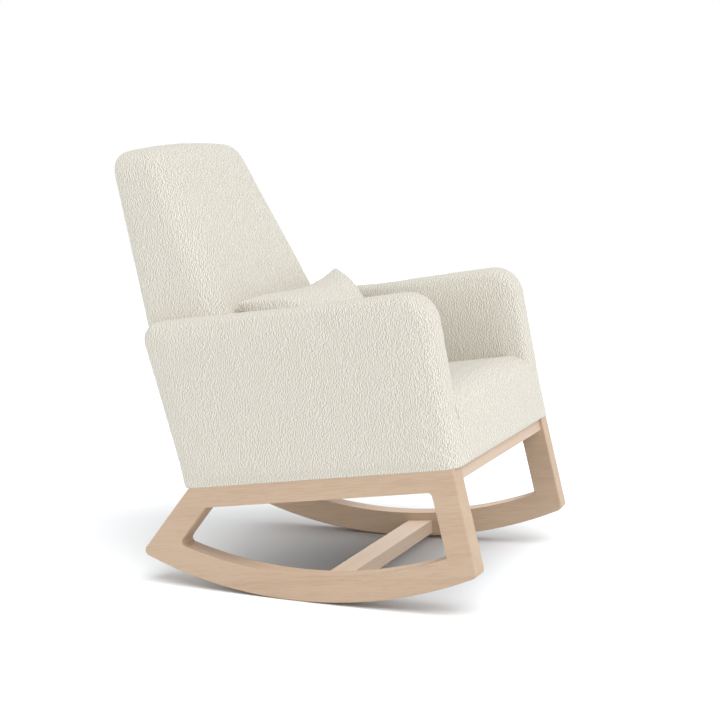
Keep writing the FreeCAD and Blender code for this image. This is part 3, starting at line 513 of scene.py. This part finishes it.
@dataclass
class PaddedPiece:
    """An upholstered piece, shaped from its cover's solid and swelled by simulated cloth."""

    name: str
    cover: str
    stands_for: tuple[str, ...]
    body: str
    fill: float
    voxel: float = 8.0
    shrink: float = 1.0
    smoothing: int = 3
    edge_hold: float = 0.85
    pressure: float = 4.0
    cap: float = 7.0
    pin_height: float = 6.0
    foot_drop: float = 24.0
    widen: float = 0.0
    rear_add: float = 0.0
    frames: int = 20
    piece: bpy.types.Object | None = field(default=None, init=False)

    def build(self, nodes: dict[str, bpy.types.Object]) -> None:
        """Shape the piece, then lay its cloth over the padding.

        Args:
            nodes: the CAD nodes by name.
        """
        self.piece = self.copied(nodes)
        self.shape()
        self.lengthen()
        apply_modifier(self.piece, "REMESH", {"mode": "VOXEL", "voxel_size": metres(self.voxel)})
        self.bend()
        apply_modifier(self.piece, "SMOOTH", {"factor": 0.5, "iterations": self.smoothing})
        self.settle()
        self.swell()
        apply_modifier(
            self.piece, "SUBSURF", {"levels": 1, "render_levels": 1, "subdivision_type": "CATMULL_CLARK"}
        )
        self.trim()
        hold(self.piece)
        bpy.ops.object.shade_smooth_by_angle(angle=SHARP_ANGLE)
        LOG.info("%s: %d points", self.name, len(self.piece.data.vertices))

    def copied(self, nodes: dict[str, bpy.types.Object]) -> bpy.types.Object:
        """Copy the cover's mesh into a new object with its doubles merged.

        Args:
            nodes: the CAD nodes by name.

        Returns:
            The new object.
        """
        mesh = nodes[self.cover].data.copy()
        mesh.name = self.name
        piece = bpy.data.objects.new(self.name, mesh)
        bpy.context.scene.collection.objects.link(piece)
        with editing(piece):
            bpy.ops.mesh.remove_doubles(threshold=MERGE_DISTANCE)
        return piece

    def shape(self) -> None:
        """Wrap the cover tightly, which closes its open foot."""
        with editing(self.piece):
            bpy.ops.mesh.convex_hull()

    def bend(self) -> None:
        """Leave the piece straight."""

    def lengthen(self) -> None:
        """Lengthen the foot past the rails for the trim, and pad the rear and the sides out."""
        points = points_of(self.piece)
        points[normals_of(self.piece)[:, 1] > REAR_FACING, 1] += metres(self.rear_add)
        foot = height_over_rail(points) < PLANE_MARGIN
        points[foot] -= np.array(CHAIR_UP) * metres(self.foot_drop)
        points[:, 0] += np.sign(points[:, 0]) * metres(self.widen)
        move_points(self.piece, points)

    def trim(self) -> None:
        """Cut the foot off flat along the rails' tops, which leaves the cloth a crisp edge there."""
        with editing(self.piece):
            bpy.ops.mesh.bisect(
                plane_co=ARM_TOP_POINT - CHAIR_UP * metres(RAIL_TOP_DROP),
                plane_no=CHAIR_UP,
                use_fill=True,
                clear_inner=True,
            )

    def settle(self) -> None:
        """Draw the skin in, so that the padding has room to swell."""
        apply_modifier(self.piece, "DISPLACE", {"strength": -metres(self.shrink), "mid_level": 0.0})

    def pinned(self, points: np.ndarray) -> np.ndarray:
        """Find the points that are stapled down.

        Args:
            points: the piece's points.

        Returns:
            True for each point at the foot.
        """
        return height_over_rail(points) < self.pin_height

    def swell(self) -> None:
        """Blow the padding up as pressed cloth, and cap how far a point moves."""
        start = points_of(self.piece)
        outwards = normals_of(self.piece)
        pins = self.piece.vertex_groups.new(name="stapled")
        pins.add([int(i) for i in np.flatnonzero(self.pinned(start))], 1.0, "REPLACE")
        hold(self.piece)
        cloth = self.piece.modifiers.new("padding", "CLOTH")
        cloth.settings.quality = 4
        cloth.settings.mass = 0.3
        cloth.settings.tension_stiffness = 40.0
        cloth.settings.compression_stiffness = 40.0
        cloth.settings.shear_stiffness = 20.0
        cloth.settings.bending_stiffness = 2.0
        cloth.settings.use_pressure = True
        cloth.settings.uniform_pressure_force = self.pressure
        cloth.settings.vertex_group_mass = pins.name
        cloth.settings.effector_weights.gravity = 0.0
        cloth.collision_settings.use_collision = False
        cloth.point_cache.frame_start = 1
        cloth.point_cache.frame_end = self.frames
        for number in range(1, self.frames + 1):
            bpy.context.scene.frame_set(number)
        bpy.ops.object.modifier_apply(modifier=cloth.name)
        bpy.context.scene.frame_set(1)
        self.piece.vertex_groups.clear()
        moved = points_of(self.piece) - start
        sunk = np.maximum(-np.sum(moved * outwards, axis=1, keepdims=True), 0.0)
        moved += outwards * sunk * self.edge_hold
        length = np.linalg.norm(moved, axis=1, keepdims=True)
        limit = metres(self.cap)
        capped = limit * np.tanh(length / limit)
        move_points(self.piece, start + moved * capped / np.maximum(length, 1e-9))
        LOG.info("%s swelled by up to %.1f mm", self.name, float(capped.max()) * 1000.0)

    def dress(self, cloth: bpy.types.Material) -> None:
        """Cover the piece and hand it to the frame.

        Args:
            cloth: its fabric.
        """
        paint(self.piece, cloth)
        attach(self.piece, self.body)
        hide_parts(*self.stands_for)


@dataclass
class BackPad(PaddedPiece):
    """The raked back: a wide part that presses on the arm tops and a narrow part between them."""

    press_front: float = 9.0
    press_rear: float = 38.0
    foot_spread: float = 40.0

    def shape(self) -> None:
        """Wrap the part above the arm tops and the part below it apart, then join both."""
        lower = self.piece.copy()
        lower.data = self.piece.data.copy()
        bpy.context.scene.collection.objects.link(lower)
        for part, is_upper in ((self.piece, True), (lower, False)):
            with editing(part):
                bpy.ops.mesh.bisect(
                    plane_co=ARM_TOP_POINT,
                    plane_no=CHAIR_UP,
                    clear_inner=is_upper,
                    clear_outer=not is_upper,
                )
                bpy.ops.mesh.select_all(action="SELECT")
                bpy.ops.mesh.convex_hull()
        self.spread_foot(lower)
        self.press()
        apply_modifier(self.piece, "BOOLEAN", {"operation": "UNION", "object": lower, "solver": "EXACT"})
        bpy.data.objects.remove(lower)

    def spread_foot(self, lower: bpy.types.Object) -> None:
        """Widen the foot of the lower part, so that its sides press into the arms.

        Args:
            lower: the part between the arms.
        """
        points = points_of(lower)
        foot = height_over_rail(points) < RAIL_TOP_DROP / 2.0
        points[foot, 0] += np.sign(points[foot, 0]) * metres(self.foot_spread)
        move_points(lower, points)

    def press(self) -> None:
        """Press the upper part into the arm tops, more at its rear than at its front."""
        points = points_of(self.piece)
        low = height_over_rail(points) < RAIL_TOP_DROP + PLANE_MARGIN
        front, rear = points[low, 1].min(), points[low, 1].max()
        share = (points[low, 1] - front) / (rear - front)
        drop = metres(self.press_front) + share * metres(self.press_rear - self.press_front)
        points[low] -= drop[:, None] * np.array(CHAIR_UP)
        move_points(self.piece, points)


@dataclass
class LumbarPillow(PaddedPiece):
    """The loose pillow, with drawn-in sides and corners that stand out as ears."""

    tuck: float = 36.0
    tuck_drop: float = 26.0
    tuck_start: float = 100.0
    draw_in: float = 16.0
    ear: float = 10.0
    lean_deg: float = 40.0

    def lengthen(self) -> None:
        """Leave the pillow as long as it is, since it has no foot."""

    def bend(self) -> None:
        """Draw the ends in, flop the far ear forward and tuck the near end in beside the arm."""
        points = points_of(self.piece)
        start = metres(self.tuck_start)
        lean = math.radians(self.lean_deg)
        rise = points @ np.array((0.0, math.sin(lean), math.cos(lean)))
        rise = 2.0 * (rise - rise.min()) / (rise.max() - rise.min()) - 1.0
        along = np.abs(points[:, 0])
        end = np.clip((along - start) / (along.max() - start), 0.0, 1.0) ** 2
        points[:, 0] -= np.sign(points[:, 0]) * metres(self.draw_in) * end * (1.0 - rise ** 2)
        flop = metres(self.ear) * end * np.clip(rise, 0.0, 1.0) ** 2 * (points[:, 0] > 0.0)
        points += flop[:, None] * np.array((0.0, -math.cos(lean), math.sin(lean)))
        span = -points[:, 0].min() - start
        share = np.clip((-points[:, 0] - start) / span, 0.0, 1.0) ** 2
        points[:, 1] += share * metres(self.tuck)
        points[:, 2] -= share * metres(self.tuck_drop)
        move_points(self.piece, points)

    def trim(self) -> None:
        """Leave the pillow whole."""

    def shape(self) -> None:
        """Keep the outer skin of the cover and delete the skin inside it."""
        with editing(self.piece):
            bpy.ops.mesh.separate(type="LOOSE")
        skins = list(bpy.context.selected_objects)
        outer = max(skins, key=lambda skin: skin.dimensions.x)
        for skin in skins:
            if skin is not outer:
                bpy.data.objects.remove(skin)
        self.piece = outer

    def pinned(self, points: np.ndarray) -> np.ndarray:
        """Find the points at the sewn ends, whose ears stay sharp.

        Args:
            points: the piece's points.

        Returns:
            True for each point near either end.
        """
        middle = (points.min(axis=0) + points.max(axis=0)) / 2.0
        reach = np.abs(points[:, 0] - middle[0])
        return reach > reach.max() - metres(self.pin_height)


@dataclass
class RockerBase:
    """The maple base: two runner frames, three cross members, their tenons and screws."""

    sided: tuple[str, ...] = ("side_rail", "runner", "front_leg", "rear_leg")
    across: tuple[str, ...] = ("front_rail", "rear_rail", "stretcher", "cross_tenons")

    def frame_names(self) -> list[str]:
        """Names of the pieces of both runner frames."""
        return [f"{side.value}_{name}" for side in Side for name in self.sided]

    def seen_names(self) -> list[str]:
        """Names of the wooden pieces that light can reach."""
        return self.frame_names() + list(self.across)

    def dress(self, nodes: dict[str, bpy.types.Object]) -> None:
        """Give each solid of the base its finish.

        Args:
            nodes: the CAD nodes by name.
        """
        rail_wood = MapleFinish(Grain.ALONG_RAIL).material()
        cross_wood = MapleFinish(
            Grain.ACROSS_CHAIR, pale="#d5bfab", middle="#d1baa4", dark="#cab29b"
        ).material()
        for name in self.frame_names():
            paint(nodes[name], rail_wood)
        for name in self.across:
            paint(nodes[name], cross_wood)
        paint(nodes["leg_tenons"], rail_wood)
        paint(nodes["base_screws"], ZincFinish().material())
        LOG.info("rocker base dressed")


@dataclass
class InnerFrame:
    """The hidden frame of the shell: pine boards, webbing, felt and the dust cover."""

    hidden: tuple[str, ...] = ("arm_", "back_", "seat_", "dust_")

    def dress(self, nodes: dict[str, bpy.types.Object]) -> None:
        """Give each hidden solid its finish, by its name.

        Args:
            nodes: the CAD nodes by name.
        """
        # Sawn pine: yellowish, dull, with short streaks along the boards.
        pine = SpeckledFinish("pine_sawn_raw", "#dcc08f", "#c9a56d", 3.0, 0.7, (1.0, 20.0, 6.0)).material()
        # Woven jute webbing: brown, coarse, with a dry ribbed surface.
        jute = SpeckledFinish("jute_woven_webbing", "#a98f66", "#7d6643", 2.0, 0.85, relief=0.6).material()
        # Needled felt: flecked grey, fully matt.
        felt = SpeckledFinish("felt_needled_grey", "#9b9a96", "#6f6e6a", 1.2, 0.95).material()
        # Spunbond polypropylene: near-black, dry, with a faint fibre speckle.
        dust = SpeckledFinish("polypropylene_spunbond_black", "#343434", "#232323", 1.0, 0.8).material()
        stuff = {"seat_webbing": jute, "back_webbing": jute, "seat_felt": felt, "dust_cover": dust}
        for name, node in nodes.items():
            if any(word in name for word in self.hidden):
                paint(node, stuff.get(name, pine))
        LOG.info("inner frame dressed")


def light_only(lamp: bpy.types.Object, lit: list[bpy.types.Object]) -> None:
    """Let a lamp light some objects only.

    Args:
        lamp: the lamp.
        lit: objects that it lights.
    """
    group = bpy.data.collections.new(f"{lamp.name}_lit")
    for thing in lit:
        group.objects.link(thing)
    lamp.light_linking.receiver_collection = group


@dataclass
class Studio:
    """A pale floor, soft light and the camera at the photograph's angle.

    Two of the lamps light only some objects. The floor wash keeps the floor white round the chair's shadow
    and shines on nothing else. The base fill stands in for the light that the photograph has under the seat.
    """

    floor_size: float = 14000.0
    floor_drop: float = 0.6
    floor_seen: str = "#e6e8ea"
    floor_colour: str = "#cacaca"
    ambient: float = 0.82
    key_from: tuple[float, float, float] = (-0.12, -0.6, 0.79)
    key_power: float = 0.98
    key_spread: float = 30.0
    side_from: tuple[float, float, float] = (-1.0, 0.5, 0.14)
    side_power: float = 0.42
    side_spread: float = 20.0
    wash_from: tuple[float, float, float] = (-0.5, -0.25, 0.83)
    wash_power: float = 2.3
    wash_spread: float = 45.0
    panel_place: tuple[float, float, float] = (-0.25, -1.8, 0.5)
    panel_aim: tuple[float, float, float] = (0.0, 0.0, 0.1)
    panel_width: float = 1400.0
    panel_height: float = 500.0
    panel_power: float = 2.0
    fill_place: tuple[float, float, float] = (0.0, -0.1, 0.185)
    fill_tilt: float = 4.0
    fill_width: float = 690.0
    fill_depth: float = 420.0
    fill_power: float = 0.72
    fill_spread: float = 90.0
    camera_place: tuple[float, float, float] = (-3.6855, -1.4269, 1.0113)
    camera_turn: float = 20.8023
    camera_drop: float = 7.91984
    sensor_width: float = 36.0
    lens: float = 89.855

    def build(self, base: list[bpy.types.Object]) -> None:
        """Set up floor, light and camera.

        Args:
            base: pieces of the rocker base, which the base fill lights.
        """
        floor = self.add_floor()
        self.add_world()
        self.add_far_lamp("key", self.key_from, self.key_power, self.key_spread)
        self.add_far_lamp("side_fill", self.side_from, self.side_power, self.side_spread)
        self.add_low_panel()
        wash = self.add_far_lamp("floor_wash", self.wash_from, self.wash_power, self.wash_spread)
        light_only(wash, [floor])
        light_only(self.add_base_fill(), base)
        self.add_camera()
        bpy.context.scene.view_settings.view_transform = "Standard"
        LOG.info("studio ready")

    def add_floor(self) -> bpy.types.Object:
        """Lay the floor, which the camera sees paler than the chair does.

        Returns:
            The floor.
        """
        bpy.ops.object.select_all(action="DESELECT")
        bpy.ops.mesh.primitive_plane_add(
            size=metres(self.floor_size), location=(0.0, 0.0, -metres(self.floor_drop))
        )
        floor = bpy.context.active_object
        floor.name = "floor"
        bpy.ops.object.transform_apply(location=True, rotation=True, scale=True)
        material, tree = blank_material("floor_painted_white")
        matt = add_node(tree, "ShaderNodeBsdfDiffuse", {"Color": linear_colour(self.floor_colour)})
        pale = add_node(tree, "ShaderNodeBsdfDiffuse", {"Color": linear_colour(self.floor_seen)})
        seen = add_node(tree, "ShaderNodeLightPath").outputs["Is Camera Ray"]
        both = add_node(
            tree, "ShaderNodeMixShader", {}, {0: seen, 1: matt.outputs[0], 2: pale.outputs[0]}
        ).outputs[0]
        add_node(tree, "ShaderNodeOutputMaterial", {}, {"Surface": both})
        paint(floor, material)
        return floor

    def add_world(self) -> None:
        """Light the room evenly, and show it as white."""
        world = bpy.data.worlds.new("studio_white")
        bpy.context.scene.world = world
        world.use_nodes = True
        tree = world.node_tree
        tree.nodes.clear()
        path = add_node(tree, "ShaderNodeLightPath")
        seen = add_node(
            tree, "ShaderNodeMath",
            {"operation": "MAXIMUM"},
            {0: path.outputs["Is Camera Ray"], 1: path.outputs["Is Glossy Ray"]},
        ).outputs[0]
        shown = add_node(
            tree, "ShaderNodeMath",
            {"operation": "MAXIMUM"},
            {0: seen, 1: path.outputs["Is Transmission Ray"]},
        ).outputs[0]
        light = linear_colour(WHITE)
        room = add_node(tree, "ShaderNodeBackground", {"Color": light, "Strength": self.ambient})
        white = add_node(tree, "ShaderNodeBackground", {"Color": light, "Strength": 1.0})
        mixed = add_node(
            tree, "ShaderNodeMixShader", {}, {0: shown, 1: room.outputs[0], 2: white.outputs[0]}
        ).outputs[0]
        add_node(tree, "ShaderNodeOutputWorld", {}, {"Surface": mixed})

    def add_far_lamp(
        self, name: str, source: tuple[float, float, float], power: float, spread: float
    ) -> bpy.types.Object:
        """Hang a far, wide lamp, so its light is even and soft.

        Args:
            name: name of the lamp.
            source: direction from the chair to the lamp.
            power: its strength in watts per square metre.
            spread: angle that the lamp fills, in degrees.

        Returns:
            The lamp.
        """
        lamp = bpy.data.lights.new(name, "SUN")
        lamp.energy = power
        lamp.angle = math.radians(spread)
        holder = bpy.data.objects.new(name, lamp)
        holder.rotation_euler = (-Vector(source)).to_track_quat("-Z", "Y").to_euler()
        bpy.context.scene.collection.objects.link(holder)
        return holder

    def add_panel(
        self,
        name: str,
        place: tuple[float, float, float],
        turn: Euler,
        sides: tuple[float, float],
        power: float,
    ) -> bpy.types.Object:
        """Hang a soft rectangular panel.

        Args:
            name: name of the lamp.
            place: its middle, in metres.
            turn: its turn from facing straight down.
            sides: its two sides.
            power: its strength in watts.

        Returns:
            The lamp.
        """
        lamp = bpy.data.lights.new(name, "AREA")
        lamp.shape = "RECTANGLE"
        lamp.size = metres(sides[0])
        lamp.size_y = metres(sides[1])
        lamp.energy = power
        holder = bpy.data.objects.new(name, lamp)
        holder.location = place
        holder.rotation_euler = turn
        bpy.context.scene.collection.objects.link(holder)
        return holder

    def add_low_panel(self) -> None:
        """Stand a low soft panel in front of the chair, which lights the base under the seat."""
        facing = Vector(self.panel_aim) - Vector(self.panel_place)
        turn = facing.to_track_quat("-Z", "Y").to_euler()
        sides = (self.panel_width, self.panel_height)
        self.add_panel("low_panel", self.panel_place, turn, sides, self.panel_power)

    def add_base_fill(self) -> bpy.types.Object:
        """Hang a soft panel under the seat, which lights the stretcher and the runners' tops.

        Returns:
            The lamp, which the camera doesn't see.
        """
        turn = Euler((math.radians(self.fill_tilt), 0.0, 0.0))
        sides = (self.fill_width, self.fill_depth)
        fill = self.add_panel("base_fill", self.fill_place, turn, sides, self.fill_power)
        fill.data.spread = math.radians(self.fill_spread)
        fill.visible_camera = False
        return fill

    def add_camera(self) -> None:
        """Place the camera."""
        camera = bpy.data.cameras.new("camera")
        camera.sensor_width = self.sensor_width
        camera.lens = self.lens
        holder = bpy.data.objects.new("camera", camera)
        holder.location = self.camera_place
        turn, drop = math.radians(self.camera_turn), math.radians(self.camera_drop)
        level = math.cos(drop)
        facing = Vector((level * math.cos(turn), level * math.sin(turn), -math.sin(drop)))
        holder.rotation_euler = facing.to_track_quat("-Z", "Y").to_euler()
        bpy.context.scene.collection.objects.link(holder)
        bpy.context.scene.camera = holder


def make_pads() -> list[PaddedPiece]:
    """List the upholstered pieces.

    Returns:
        The arms, the seat, the back and the pillow, not built yet.
    """
    arms = [
        PaddedPiece(
            f"{side.value}_arm_pad",
            f"{side.value}_arm_cover",
            (f"{side.value}_arm_cover", f"{side.value}_arm_foam"),
            "chair",
            fill=0.9,
            shrink=-1.0,
            rear_add=6.0,
        )
        for side in Side
    ]
    seat = PaddedPiece(
        "seat_pad",
        "seat_cover",
        ("seat_cover", "seat_foam"),
        "chair",
        fill=0.85,
        shrink=4.0,
        cap=3.0,
        widen=34.0,
    )
    back = BackPad(
        "back_pad",
        "back_cover",
        ("back_cover", "back_foam"),
        "chair",
        fill=0.9,
        rear_add=6.0,
    )
    pillow = LumbarPillow(
        "lumbar_pillow",
        "pillow_cover",
        ("pillow_cover", "pillow_filling"),
        "pillow",
        fill=0.7,
        voxel=6.0,
        smoothing=1,
        cap=5.0,
        pin_height=12.0,
    )
    return [*arms, seat, back, pillow]


def main() -> None:
    """Dress the chair and set up the studio."""
    logging.basicConfig(level=logging.INFO, format="%(message)s")
    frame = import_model()
    nodes = frame["nodes"]

    cloth = BoucleFinish().material()
    base = RockerBase()
    base.dress(nodes)
    InnerFrame().dress(nodes)
    for pad in make_pads():
        pad.build(nodes)
        pad.dress(cloth)

    Studio().build([nodes[name] for name in base.seen_names()])


if __name__ == "__main__":
    main()
